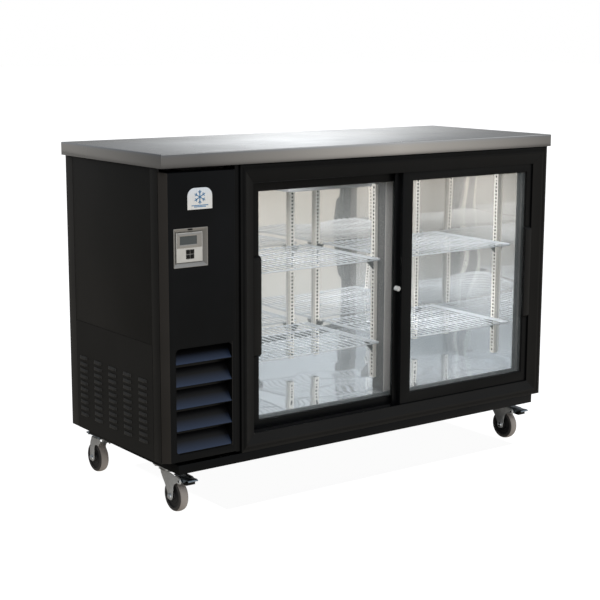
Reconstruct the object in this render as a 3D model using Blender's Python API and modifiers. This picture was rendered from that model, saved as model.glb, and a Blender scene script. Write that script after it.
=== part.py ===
"""Two-door back-bar cooler on casters: sliding glass doors, machine bay on the left.

Frame: +X along the width, -Y is the front, +Z up. The origin is on the floor, under the middle
of the worktop. Units are metres.
"""

import math

import bmesh
import bpy

# Overall size
WIDTH = 1.550
DEPTH = 0.610
HEIGHT = 1.080
GAP = 0.0003  # running gap between separate pieces

# Worktop and outer case
TOP_THICK = 0.040
TOP_EDGE = 0.0025
SIDE_OVERHANG = 0.008
REAR_OVERHANG = 0.014
SHEET = 0.0012
CASE_X = WIDTH / 2 - SIDE_OVERHANG
CASE_BACK = DEPTH / 2 - REAR_OVERHANG
CASE_FRONT = -0.268
CASE_BOTTOM = 0.172
CASE_TOP = HEIGHT - TOP_THICK - GAP
FACE_Y = -0.295  # front faces of the door surround and of the front cover

# Base under the case
BASE_BOTTOM = 0.139
BASE_TOP = 0.1665
BASE_LEFT = -0.724
BASE_RIGHT = 0.731
BASE_BACK = 0.262
CROSS_BARS = (-0.55, 0.0, 0.55)

# Cold room
CABIN_LEFT = -0.455
CABIN_RIGHT = 0.716
CABIN_BACK = 0.235
CABIN_FLOOR = 0.247
CABIN_CEILING = 0.990
LINER = 0.0010
BODY_LEFT = -0.500
BODY_FRONT = -0.2055

# Door surround and tracks
SURROUND_LEFT = -0.502
SURROUND_BOTTOM = 0.167
LIP_LEFT, LIP_RIGHT = -0.451, 0.709
LIP_BOTTOM, LIP_TOP = 0.219, 0.981
LIP_SLOPE = 0.030
LIP_BACK = -0.2845
LIP_EDGE = -0.2875
JAMB_LEFT, JAMB_RIGHT = -0.4525, 0.7305
SILL, HEAD = 0.181, 1.035
TRACK_FRONT, TRACK_BACK = -0.2842, -0.2060

# Doors: the right one runs in the front track, the left one behind it
DOOR_THICK = 0.025
DOOR_BOTTOM, DOOR_TOP = 0.206, 0.996
FRONT_DOOR_Y = -0.282
REAR_DOOR_Y = -0.2455
FRONT_DOOR = (0.132, 0.728)
REAR_DOOR = (-0.446, 0.178)
FRONT_PANE = ((0.174, 0.254), (0.686, 0.955))
REAR_PANE = ((-0.404, 0.242), (0.137, 0.952))
FRONT_HANDLE = ((0.677, 0.446), (0.706, 0.768))
REAR_HANDLE = ((-0.430, 0.443), (-0.400, 0.757))
PANE_REBATE = 0.008
PANE_LIP = 0.005
INTERLOCK_LEFT = 0.115
INTERLOCK_Y = -0.262
LOCK_X, LOCK_Z = 0.1235, 0.605

# Machine bay
BAY_RIGHT = -0.5035
COVER_LEFT, COVER_RIGHT = -0.7665, -0.5195
COVER_BOTTOM, COVER_TOP = 0.1745, 1.0285
COVER_BACK = CASE_FRONT - 0.0015
BEZEL = ((-0.7325, 0.7524), (-0.6165, 0.8664))
BEZEL_SLOPE = 0.013
CONTROL_Y = -0.285
DISPLAY = ((-0.710, 0.815), (-0.643, 0.845))
KEYS_X, KEYS_Z = -0.6727, 0.7889
BADGE = ((-0.685, 0.918), (-0.601, 0.980))
BADGE_CORNER = 0.024
GRILLE = ((-0.731, 0.198), (-0.534, 0.517))
SLAT_PITCH = 0.0665
SLAT_LIP = 0.0115
VENT_PANEL = ((-0.2255, 0.172), (0.2465, 0.5215))
VENT_COLUMNS, VENT_ROWS = 5, 10
VENT_COLUMN_PITCH, VENT_ROW_PITCH = 0.092, 0.0205
VENT_LENGTH, VENT_HEIGHT = 0.045, 0.008

# Shelves and the slotted standards that carry them
SHELF_LEVELS = {"upper": 0.697, "lower": 0.420}
SHELF_FRONT, SHELF_BACK = -0.198, 0.208
LEFT_SHELF = (-0.436, 0.1105)
RIGHT_SHELF = (0.1815, 0.7005)
SHELF_THICK = 0.006
WIRE = 0.004
WIRES = 21
MULLION = (0.1255, 0.1665)
MULLION_BACK = -0.146
STANDARD_WIDE, STANDARD_DEEP, STANDARD_WALL = 0.018, 0.012, 0.0015
STANDARD_BOTTOM, STANDARD_TOP = 0.290, 0.935

# Refrigeration
CONDENSER = ((-0.745, -0.228, 0.184), (-0.525, -0.180, 0.500))
CONDENSER_FAN_R = 0.088
FIN = 0.012
EVAPORATOR = ((-0.100, 0.020, 0.905), (0.360, CABIN_BACK - STANDARD_DEEP - 0.002, 0.9897))
EVAPORATOR_FAN_R = 0.062
COMPRESSOR_X, COMPRESSOR_Y = -0.635, 0.120

# Casters
CASTER_X = 0.684
CASTER_FRONT_Y, CASTER_REAR_Y = -0.180, 0.245
TRAIL = 0.033
WHEEL_R = 0.050
WHEEL_SIDES = 28
AXLE_Z = WHEEL_R * math.cos(math.pi / WHEEL_SIDES)
PEDAL_Y, PEDAL_Z = -0.086, 0.109

PARTS = "back_bar_cooler"
CUTTERS = "cutters"
UPRIGHT = (math.radians(90), 0, 0)  # lays an XY outline on the XZ plane
SIDEWAYS = (math.radians(90), 0, math.radians(90))  # lays an XY outline on the YZ plane


def clear_scene():
    for obj in list(bpy.data.objects):
        bpy.data.objects.remove(obj)
    for name in (PARTS, CUTTERS):
        bpy.context.scene.collection.children.link(bpy.data.collections.new(name))


def material(name, colour, roughness, metallic=0.0):
    found = bpy.data.materials.get(name)
    if found:
        return found
    made = bpy.data.materials.new(name)
    made.use_nodes = True
    shader = made.node_tree.nodes["Principled BSDF"]
    shader.inputs["Base Color"].default_value = (*colour, 1)
    shader.inputs["Roughness"].default_value = roughness
    shader.inputs["Metallic"].default_value = metallic
    return made


def stainless():
    return material("brushed_stainless", (0.62, 0.62, 0.62), 0.28, 1.0)


def mirror_steel():
    return material("liner_stainless", (0.74, 0.75, 0.76), 0.16, 1.0)


def black_steel():
    return material("black_textured_steel", (0.017, 0.016, 0.015), 0.55)


def black_cover():
    return material("black_cover_steel", (0.010, 0.011, 0.013), 0.42)


def black_frame():
    return material("black_anodised", (0.008, 0.010, 0.012), 0.32)


def black_plastic():
    return material("black_plastic", (0.012, 0.012, 0.012), 0.45)


def zinc():
    return material("zinc_plate", (0.60, 0.61, 0.62), 0.30, 1.0)


def silver_plastic():
    return material("silver_plastic", (0.50, 0.47, 0.43), 0.35)


def place(obj, collection, mat=None):
    bpy.data.collections[collection].objects.link(obj)
    if mat:
        obj.data.materials.append(mat)
    return obj


def as_cutter(obj):
    for owner in list(obj.users_collection):
        owner.objects.unlink(obj)
    bpy.data.collections[CUTTERS].objects.link(obj)
    obj.hide_render = True
    obj.display_type = "WIRE"
    return obj


def block(name, low, high, mat=None, at=None):
    """A box between two corners. Its origin is its middle, or the point `at`."""
    middle = [(a + b) / 2 for a, b in zip(low, high)]
    origin = at or middle
    bm = bmesh.new()
    bmesh.ops.create_cube(bm, size=1)
    for vert in bm.verts:
        for i in range(3):
            vert.co[i] = vert.co[i] * (high[i] - low[i]) + middle[i] - origin[i]
    mesh = bpy.data.meshes.new(name)
    bm.to_mesh(mesh)
    bm.free()
    obj = bpy.data.objects.new(name, mesh)
    obj.location = origin
    return place(obj, PARTS, mat)


def taper_front(obj, left, right, below, above):
    """Draws the front (-Y) face of a box in on its four sides."""
    front = min(v.co.y for v in obj.data.vertices)
    for vert in obj.data.vertices:
        if vert.co.y > front + 1e-6:
            continue
        vert.co.x += left if vert.co.x < 0 else -right
        vert.co.z += below if vert.co.z < 0 else -above
    return obj


def drop_faces(obj, axis, side):
    """Opens a box by removing the face that looks along axis * side."""
    bm = bmesh.new()
    bm.from_mesh(obj.data)
    bm.normal_update()
    gone = [f for f in bm.faces if f.normal[axis] * side > 0.9]
    bmesh.ops.delete(bm, geom=gone, context="FACES_ONLY")
    bm.to_mesh(obj.data)
    bm.free()
    return obj


def shell(obj, thickness, offset):
    thick = obj.modifiers.new("wall", "SOLIDIFY")
    thick.thickness = thickness
    thick.offset = offset
    thick.use_even_offset = True
    return obj


def soften(obj, width, segments=1):
    bevel = obj.modifiers.new("edge", "BEVEL")
    bevel.width = width
    bevel.segments = segments
    bevel.limit_method = "ANGLE"
    bevel.angle_limit = math.radians(40)
    return obj


def cut(obj, *cutters):
    for cutter in cutters:
        boolean = obj.modifiers.new("cut", "BOOLEAN")
        boolean.operation = "DIFFERENCE"
        boolean.object = as_cutter(cutter)
    return obj


def join(obj, *others):
    for other in others:
        boolean = obj.modifiers.new("join", "BOOLEAN")
        boolean.operation = "UNION"
        boolean.object = as_cutter(other)
    return obj


def smooth(obj, degrees=35):
    obj.data.shade_smooth()
    obj.data.set_sharp_from_angle(angle=math.radians(degrees))
    return obj


def rectangle(low, high):
    return [(low[0], low[1]), (high[0], low[1]), (high[0], high[1]), (low[0], high[1])]


def arc(centre, radius, start, end, steps):
    turns = [math.radians(start + (end - start) * i / steps) for i in range(steps + 1)]
    return [(centre[0] + radius * math.cos(t), centre[1] + radius * math.sin(t)) for t in turns]


def sheet(name, loops, thickness, location, rotation, mat=None):
    """A flat outline with holes, extruded to a thickness about `location`."""
    curve = bpy.data.curves.new(name, "CURVE")
    curve.dimensions = "2D"
    curve.fill_mode = "BOTH"
    curve.extrude = thickness / 2
    for loop in loops:
        spline = curve.splines.new("POLY")
        spline.points.add(len(loop) - 1)
        for point, (u, v) in zip(spline.points, loop):
            point.co = (u, v, 0, 1)
        spline.use_cyclic_u = True
    obj = bpy.data.objects.new(name, curve)
    obj.location = location
    obj.rotation_euler = rotation
    return place(obj, PARTS, mat)


def meshed(obj):
    """The same shape as a mesh with its caps welded, so that it can be cut or joined."""
    bpy.context.view_layer.update()
    graph = bpy.context.evaluated_depsgraph_get()
    mesh = bpy.data.meshes.new_from_object(obj.evaluated_get(graph))
    bm = bmesh.new()
    bm.from_mesh(mesh)
    bmesh.ops.remove_doubles(bm, verts=bm.verts, dist=1e-6)
    bmesh.ops.recalc_face_normals(bm, faces=bm.faces)
    bm.to_mesh(mesh)
    bm.free()
    name, world = obj.name, obj.matrix_world.copy()
    bpy.data.objects.remove(obj)
    solid = bpy.data.objects.new(name, mesh)
    solid.matrix_world = world
    return place(solid, PARTS)


def rod(name, radius, length, location, rotation=(0, 0, 0), mat=None, sides=20):
    bm = bmesh.new()
    bmesh.ops.create_cone(
        bm, cap_ends=True, segments=sides, radius1=radius, radius2=radius, depth=length
    )
    mesh = bpy.data.meshes.new(name)
    bm.to_mesh(mesh)
    bm.free()
    obj = bpy.data.objects.new(name, mesh)
    obj.location = location
    obj.rotation_euler = rotation
    return smooth(place(obj, PARTS, mat))


def turned(name, profile, sides, location, rotation=(0, 0, 0), mat=None, closed=False):
    """A profile of (radius, height) points, outer side from top to bottom, turned about Z."""
    mesh = bpy.data.meshes.new(name)
    count = len(profile)
    edges = [(i, i + 1) for i in range(count - 1)] + ([(count - 1, 0)] if closed else [])
    mesh.from_pydata([(r, 0, z) for r, z in profile], edges, [])
    obj = bpy.data.objects.new(name, mesh)
    obj.location = location
    obj.rotation_euler = rotation
    screw = obj.modifiers.new("turn", "SCREW")
    screw.steps = sides
    screw.render_steps = sides
    screw.use_merge_vertices = True
    screw.merge_threshold = 1e-5
    return place(obj, PARTS, mat)


def build_case():
    half_w, half_d = WIDTH / 2, DEPTH / 2
    top = block(
        "worktop", (-half_w, -half_d, HEIGHT - TOP_THICK), (half_w, half_d, HEIGHT), stainless()
    )
    soften(drop_faces(top, 2, -1), TOP_EDGE, 2)
    shell(top, SHEET, -1)

    skin = LINER + GAP
    body = block(
        "insulated_body",
        (BODY_LEFT, BODY_FRONT, CASE_BOTTOM),
        (CASE_X - SHEET - GAP, CASE_BACK, CASE_TOP),
        material("galvanised_steel", (0.45, 0.46, 0.47), 0.45, 1.0),
    )
    room = block(
        "cold_room",
        (CABIN_LEFT - skin, BODY_FRONT - 0.05, CABIN_FLOOR - skin),
        (CABIN_RIGHT + skin, CABIN_BACK + skin, CABIN_CEILING + skin),
    )
    cut(body, room)

    liner = block(
        "inner_liner",
        (CABIN_LEFT, BODY_FRONT + GAP, CABIN_FLOOR),
        (CABIN_RIGHT, CABIN_BACK, CABIN_CEILING),
        mirror_steel(),
    )
    shell(drop_faces(liner, 1, -1), LINER, 1)

    block(
        "right_side_panel",
        (CASE_X - SHEET, BODY_FRONT, CASE_BOTTOM),
        (CASE_X, CASE_BACK, CASE_TOP),
        black_steel(),
    )
    tray = block(
        "base_frame",
        (BASE_LEFT, FACE_Y + 0.001, BASE_BOTTOM),
        (BASE_RIGHT, BASE_BACK, BASE_TOP),
        black_cover(),
    )
    shell(drop_faces(tray, 2, 1), 0.002, -1)
    for i, x in enumerate(CROSS_BARS):
        bar = block(
            f"cross_bar_{i}",
            (x - 0.015, BODY_FRONT + 0.002, BASE_BOTTOM + 0.001),
            (x + 0.015, BASE_BACK - 0.001, CASE_BOTTOM - GAP),
        )
        join(tray, bar)


def build_side_panels():
    middle = -CASE_X + SHEET / 2
    (front, low), (back, high) = VENT_PANEL
    outline = [
        (CASE_FRONT, low),
        (front - GAP, low),
        (front - GAP, high + GAP),
        (back + GAP, high + GAP),
        (back + GAP, low),
        (CASE_BACK - SHEET - 2 * GAP, low),
        (CASE_BACK - SHEET - 2 * GAP, CASE_TOP),
        (CASE_FRONT, CASE_TOP),
    ]
    sheet("left_side_panel", [outline], SHEET, (middle, 0, 0), SIDEWAYS, black_steel())

    loops = [rectangle((front, low), (back, high))]
    first_z = low + 0.049
    for column in range(VENT_COLUMNS):
        y = front + 0.0815 - VENT_LENGTH + column * VENT_COLUMN_PITCH
        for row in range(VENT_ROWS):
            z = first_z + row * VENT_ROW_PITCH
            slot = (y, z - VENT_HEIGHT / 2), (y + VENT_LENGTH, z + VENT_HEIGHT / 2)
            loops.append(rectangle(*slot))
    sheet("side_vent_panel", loops, SHEET, (middle, 0, 0), SIDEWAYS, black_steel())

    left, right = -CASE_X, BAY_RIGHT
    loops = [rectangle((left, CASE_BOTTOM), (right, CASE_TOP))]
    for row in range(9):
        z = 0.230 + row * 0.032
        loops.append(rectangle((left + 0.045, z), (right - 0.045, z + 0.010)))
    middle = CASE_BACK - SHEET / 2
    sheet("rear_cover", loops, SHEET, (0, middle, 0), UPRIGHT, black_steel())


def build_surround():
    ring = block(
        "door_surround",
        (SURROUND_LEFT, FACE_Y, SURROUND_BOTTOM),
        (CASE_X, BODY_FRONT - GAP, CASE_TOP),
        black_frame(),
    )
    soften(ring, 0.002)
    deep = block(
        "surround_inside",
        (JAMB_LEFT, LIP_BACK, SILL),
        (JAMB_RIGHT, BODY_FRONT + 0.05, HEAD),
    )
    opening = block(
        "surround_opening",
        (LIP_LEFT, FACE_Y - 0.05, LIP_BOTTOM),
        (LIP_RIGHT, BODY_FRONT, LIP_TOP),
    )
    mouth = block(
        "surround_mouth",
        (LIP_LEFT - LIP_SLOPE, FACE_Y - 0.0001, LIP_BOTTOM - LIP_SLOPE),
        (LIP_RIGHT + LIP_SLOPE, LIP_EDGE, LIP_TOP + LIP_SLOPE),
    )
    back = max(v.co.y for v in mouth.data.vertices)
    for vert in mouth.data.vertices:
        if vert.co.y > back - 1e-6:
            vert.co.x -= math.copysign(LIP_SLOPE, vert.co.x)
            vert.co.z -= math.copysign(LIP_SLOPE, vert.co.z)
    cut(ring, deep, opening, mouth)
    flange = block(
        "surround_flange",
        (COVER_RIGHT - 0.010, CASE_FRONT + SHEET, CASE_BOTTOM + GAP),
        (SURROUND_LEFT + 0.002, CASE_FRONT + 2 * SHEET, CASE_TOP - 0.001),
    )
    join(ring, flange)


def track(name, base_low, base_high, rib_end, grooves):
    """A rail with three upright ribs, drawn in section on the YZ plane and run along X."""
    front, back = TRACK_FRONT, TRACK_BACK
    up = rib_end > base_high
    near, far = (base_high, base_low) if up else (base_low, base_high)
    points = [(front, far), (front, rib_end)]
    for groove_front, groove_back in grooves:
        points += [
            (groove_front, rib_end),
            (groove_front, near),
            (groove_back, near),
            (groove_back, rib_end),
        ]
    points += [(back, rib_end), (back, far)]
    middle = (JAMB_LEFT + JAMB_RIGHT) / 2
    length = JAMB_RIGHT - JAMB_LEFT - 2 * GAP
    sheet(name, [points], length, (middle, 0, 0), SIDEWAYS, black_frame())


def build_tracks():
    grooves = [
        (FRONT_DOOR_Y - 0.0006, FRONT_DOOR_Y + DOOR_THICK + 0.0010),
        (REAR_DOOR_Y - 0.0010, REAR_DOOR_Y + DOOR_THICK + 0.0010),
    ]
    track("lower_track", SILL + GAP, DOOR_BOTTOM - 0.0015, LIP_BOTTOM - 0.001, grooves)
    track("upper_track", DOOR_TOP + 0.0015, HEAD - GAP, LIP_TOP + 0.001, grooves)


def door_frame(name, span, front, pane):
    (left, low), (right, high) = pane
    back = front + DOOR_THICK
    frame = block(name, (span[0], front, DOOR_BOTTOM), (span[1], back, DOOR_TOP), black_frame())
    soften(frame, 0.0012)
    window = block(name + "_window", (left, front - 0.02, low), (right, back + 0.02, high))
    rebate = block(
        name + "_rebate",
        (left - PANE_REBATE, front + PANE_LIP, low - PANE_REBATE),
        (right + PANE_REBATE, back + 0.02, high + PANE_REBATE),
    )
    return cut(frame, window, rebate)


def door_glass(name, front, pane):
    (left, low), (right, high) = pane
    edge = PANE_REBATE - GAP
    block(
        name,
        (left - edge, front + PANE_LIP + GAP, low - edge),
        (right + edge, front + DOOR_THICK - 0.001, high + edge),
        material("clear_glass", (0.80, 0.86, 0.86), 0.02),
    )


def handle(name, left, right, low, high, front, back):
    """A pull bar with its ends cut away on a slope."""
    slope = back - front
    outline = [(front, low + slope), (back, low), (back, high), (front, high - slope)]
    middle = (left + right) / 2
    sheet(name, [outline], right - left, (middle, 0, 0), SIDEWAYS, black_plastic())


def build_doors():
    door_frame("left_door_frame", REAR_DOOR, REAR_DOOR_Y, REAR_PANE)
    door_glass("left_door_glass", REAR_DOOR_Y, REAR_PANE)
    (left, low), (right, high) = REAR_HANDLE
    handle("left_door_handle", left, right, low, high, REAR_DOOR_Y - 0.0108, REAR_DOOR_Y - GAP)

    frame = door_frame("right_door_frame", FRONT_DOOR, FRONT_DOOR_Y, FRONT_PANE)
    back = FRONT_DOOR_Y + DOOR_THICK
    interlock = block(
        "interlock",
        (INTERLOCK_LEFT, INTERLOCK_Y, DOOR_BOTTOM),
        (FRONT_DOOR[0] + 0.004, back, DOOR_TOP),
    )
    turn = (math.radians(90), 0, 0)
    housing = rod("lock_housing", 0.0078, 0.014, (LOCK_X, INTERLOCK_Y - 0.005, LOCK_Z), turn)
    bore = rod("lock_bore", 0.0056, 0.080, (LOCK_X, INTERLOCK_Y, LOCK_Z), turn)
    join(frame, interlock, housing)
    cut(frame, bore)
    door_glass("right_door_glass", FRONT_DOOR_Y, FRONT_PANE)
    (left, low), (right, high) = FRONT_HANDLE
    handle("right_door_handle", left, right, low, high, FRONT_DOOR_Y - 0.0115, FRONT_DOOR_Y - GAP)

    length = 0.022
    middle = FRONT_DOOR_Y + 0.001 + length / 2
    rod("lock_plunger", 0.0052, length, (LOCK_X, middle, LOCK_Z), turn, zinc())


def build_front_cover():
    cover = block(
        "front_cover",
        (COVER_LEFT, FACE_Y, COVER_BOTTOM),
        (COVER_RIGHT, COVER_BACK, COVER_TOP),
        black_cover(),
    )
    taper_front(cover, 0.0165, 0.002, 0.003, 0.003)
    shell(drop_faces(cover, 1, 1), 0.0015, -1)
    for name, ((left, low), (right, high)) in (("bezel_hole", BEZEL), ("grille_hole", GRILLE)):
        hole = block(name, (left, FACE_Y - 0.01, low), (right, FACE_Y + 0.01, high))
        cut(cover, hole)


def build_controls():
    (left, low), (right, high) = BEZEL
    back = CONTROL_Y + 0.012
    bezel = block(
        "controller_bezel",
        (left + GAP, FACE_Y - 0.0008, low + GAP),
        (right - GAP, back, high - GAP),
        silver_plastic(),
    )
    rim = 0.002
    mouth = block(
        "bezel_mouth",
        (left + BEZEL_SLOPE, FACE_Y - 0.0009, low + BEZEL_SLOPE),
        (right - BEZEL_SLOPE, CONTROL_Y, high - BEZEL_SLOPE),
    )
    spread = rim - BEZEL_SLOPE
    taper_front(mouth, spread, spread, spread, spread)
    cut(bezel, mouth)

    plate_front = CONTROL_Y - 0.0035
    edge = BEZEL_SLOPE + 0.001
    plate = block(
        "controller",
        (left + edge, plate_front, low + edge),
        (right - edge, CONTROL_Y - GAP, high - edge),
        material("controller_face", (0.62, 0.60, 0.57), 0.4),
    )
    (window_left, window_low), (window_right, window_high) = DISPLAY
    window = block(
        "display_window",
        (window_left, plate_front - 0.01, window_low),
        (window_right, plate_front + 0.001, window_high),
    )
    size, pitch = 0.0115, 0.0138
    well_half = pitch + 0.0003
    well = block(
        "key_well",
        (KEYS_X - well_half, plate_front - 0.01, KEYS_Z - well_half),
        (KEYS_X + well_half, plate_front + 0.0028, KEYS_Z + well_half),
    )
    cut(plate, window, well)

    for row in range(2):
        for column in range(2):
            x = KEYS_X + (column - 0.5) * pitch
            z = KEYS_Z + (0.5 - row) * pitch
            block(
                f"key_{row * 2 + column + 1}",
                (x - size / 2, plate_front - 0.0010, z - size / 2),
                (x + size / 2, plate_front + 0.0013, z + size / 2),
                black_plastic(),
            )


def build_badge():
    (left, low), (right, high) = BADGE
    corner = BADGE_CORNER
    outline = [(left, low), (right, low)]
    outline += arc((right - corner, high - corner), corner, 0, 90, 6)
    outline += arc((left + corner, high - corner), corner, 90, 180, 6)
    middle = FACE_Y - GAP - 0.0006
    metal = material("badge_metal", (0.70, 0.72, 0.75), 0.25, 1.0)
    sheet("badge", [outline], 0.0012, (0, middle, 0), UPRIGHT, metal)


def build_grille():
    (left, low), (right, high) = GRILLE
    left, right, low, high = left + GAP, right - GAP, low + GAP, high - GAP
    front, depth, rise, wall = FACE_Y + 0.0002, 0.040, 0.030, 0.0015
    grille = block(
        "louvre_grille", (left, front, low), (right, front + depth, high), black_frame()
    )
    inside = block(
        "grille_inside",
        (left + wall, front - 0.01, low + wall),
        (right - wall, front + depth + 0.01, high - wall),
    )
    cut(grille, inside)
    for i in range(5):
        z = low + 0.0065 + i * SLAT_PITCH
        profile = [
            (front, z - SLAT_LIP + 0.0055),
            (front + wall, z - SLAT_LIP + 0.0055),
            (front + wall, z + 0.004),
            (front + depth, z + rise + 0.004),
            (front + depth, z + rise + 0.006),
            (front, z + 0.006),
        ]
        middle = (left + right) / 2
        slat = sheet(f"slat_{i}", [profile], right - left - wall, (middle, 0, 0), SIDEWAYS)
        join(grille, meshed(slat))


def build_mullion():
    post = block(
        "centre_mullion",
        (MULLION[0], BODY_FRONT + 0.001, CABIN_FLOOR + GAP),
        (MULLION[1], MULLION_BACK, CABIN_CEILING - GAP),
        material("mullion_plastic", (0.10, 0.09, 0.085), 0.4),
    )
    soften(post, 0.0015)


def standard(name, x, y, facing):
    """A U channel whose closed side looks along `facing`, in degrees from +X."""
    half, deep, wall = STANDARD_WIDE / 2, STANDARD_DEEP, STANDARD_WALL
    section = [
        (0, -half),
        (deep, -half),
        (deep, half),
        (0, half),
        (0, half - wall),
        (deep - wall, half - wall),
        (deep - wall, -half + wall),
        (0, -half + wall),
    ]
    length = STANDARD_TOP - STANDARD_BOTTOM
    middle = (STANDARD_TOP + STANDARD_BOTTOM) / 2
    turn = (0, 0, math.radians(facing))
    pale = material("standard_steel", (0.75, 0.75, 0.74), 0.35, 0.8)
    sheet(name, [section], length, (x, y, middle), turn, pale)


def build_standards():
    back = CABIN_BACK - GAP
    for name, x in (("left_outer", -0.385), ("left_inner", 0.062)):
        standard(f"back_standard_{name}", x, back, -90)
    for name, x in (("right_inner", 0.172), ("right_outer", 0.636)):
        standard(f"back_standard_{name}", x, back, -90)
    post_y = MULLION_BACK - STANDARD_WIDE / 2 - 0.002
    standard("front_standard_left_outer", CABIN_LEFT + GAP, post_y, 0)
    standard("front_standard_left_inner", MULLION[0] - GAP, post_y, 180)
    standard("front_standard_right_inner", MULLION[1] + GAP, post_y, 0)
    standard("front_standard_right_outer", CABIN_RIGHT - GAP, -0.116, 180)


def shelf(name, span, level):
    """A wire shelf: two end wires, three cross wires and a row of front-to-back wires."""
    left, right = span
    pitch = (right - left - WIRE) / (WIRES - 1)
    loops = [rectangle((left, SHELF_FRONT), (right, SHELF_BACK))]
    cross = (SHELF_BACK - SHELF_FRONT - WIRE) / 2
    for half in range(2):
        low = SHELF_FRONT + WIRE + half * cross
        for i in range(WIRES - 1):
            x = left + WIRE + i * pitch
            loops.append(rectangle((x, low), (x + pitch - WIRE, low + cross - WIRE)))
    chrome = material("shelf_chrome", (0.70, 0.71, 0.72), 0.22, 1.0)
    sheet(name, loops, SHELF_THICK, (0, 0, level - SHELF_THICK / 2), (0, 0, 0), chrome)


def build_shelves():
    for level, z in SHELF_LEVELS.items():
        shelf(f"left_{level}_shelf", LEFT_SHELF, z)
        shelf(f"right_{level}_shelf", RIGHT_SHELF, z)


def propeller(name, hub, tip, blades, thickness, location, rotation, mat):
    """A flat fan wheel: round hub with blades that swell and close again round the circle."""
    steps = blades * 8
    outline = []
    for i in range(steps):
        turn = 2 * math.pi * i / steps
        swell = 0.5 + 0.5 * math.cos(blades * turn)
        radius = hub + (tip - hub) * min(1.0, 1.5 * swell)
        outline.append((radius * math.cos(turn), radius * math.sin(turn)))
    sheet(name, [outline], thickness, location, rotation, mat)


def build_machine():
    top, can, dome = 0.400, 0.076, 0.030
    profile = [(0, top)]
    profile += [(can - dome + r, top - dome + z) for r, z in reversed(arc((0, 0), dome, 0, 90, 4))]
    profile += [(can, 0.215), (0.064, 0.190), (0.064, 0.182), (0.088, 0.182), (0.088, 0.1725)]
    profile += [(0, 0.1725)]
    black = material("compressor_black", (0.02, 0.02, 0.022), 0.35)
    turned("compressor", profile, 24, (COMPRESSOR_X, COMPRESSOR_Y, 0), mat=black)

    (left, front, low), (right, back, high) = CONDENSER
    fins = 12
    pitch = (high - low) / fins
    outline = []
    for i in range(fins):
        z = low + i * pitch
        outline += [(front, z), (front, z + pitch / 2), (front + FIN, z + pitch / 2)]
        outline += [(front + FIN, z + pitch)]
    outline += [(back, high), (back, low)]
    coil = material("condenser_fins", (0.35, 0.36, 0.37), 0.4, 1.0)
    middle = (left + right) / 2
    sheet("condenser", [outline], right - left, (middle, 0, 0), SIDEWAYS, coil)

    axis_z = (low + high) / 2
    ring = arc((middle, axis_z), CONDENSER_FAN_R + 0.007, 0, 350, 35)
    plate = [rectangle((left, low), (right, high)), ring]
    steel = material("galvanised_steel", (0.45, 0.46, 0.47), 0.45, 1.0)
    sheet("fan_shroud", plate, 0.002, (0, back + 0.010, 0), UPRIGHT, steel)
    blade = material("fan_blade", (0.30, 0.31, 0.33), 0.4)
    at = (middle, back + 0.025, axis_z)
    propeller("condenser_fan", 0.028, CONDENSER_FAN_R, 5, 0.010, at, UPRIGHT, blade)

    (left, front, low), (right, back, high) = EVAPORATOR
    grey = material("evaporator_grey", (0.55, 0.56, 0.57), 0.4)
    box = block("evaporator", (left, front, low), (right, back, high), grey)
    shell(drop_faces(box, 2, 1), 0.0015, -1)
    x, y = (left + right) / 2, front + 0.105
    opening = rod("fan_opening", EVAPORATOR_FAN_R + 0.008, 0.020, (x, y, low), sides=28)
    cut(box, opening)
    at = (x, y, low + 0.018)
    propeller("evaporator_fan", 0.020, EVAPORATOR_FAN_R, 4, 0.008, at, (0, 0, 0), blade)


def leg_profile(braked, crown, crown_front, crown_back):
    """Side of a fork leg. A braked one trails to the front and reaches out to its pedal's pivot."""
    if braked:
        profile = [(crown_front - 0.012, crown)] + arc((PEDAL_Y, PEDAL_Z), 0.0095, 60, 290, 5)
        profile += [(-0.064, 0.0965), (-0.048, 0.087)]
        profile += arc((-TRAIL, AXLE_Z), 0.011, 190, 340, 5)
        return profile + [(crown_back - 0.006, 0.100), (crown_back, crown)]
    profile = [(crown_front, crown), (crown_front, 0.096), (-0.015, 0.092), (TRAIL - 0.014, AXLE_Z)]
    profile += arc((TRAIL, AXLE_Z), 0.011, 200, 340, 5)
    return profile + [(crown_back + 0.010, 0.100), (crown_back, crown)]


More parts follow.
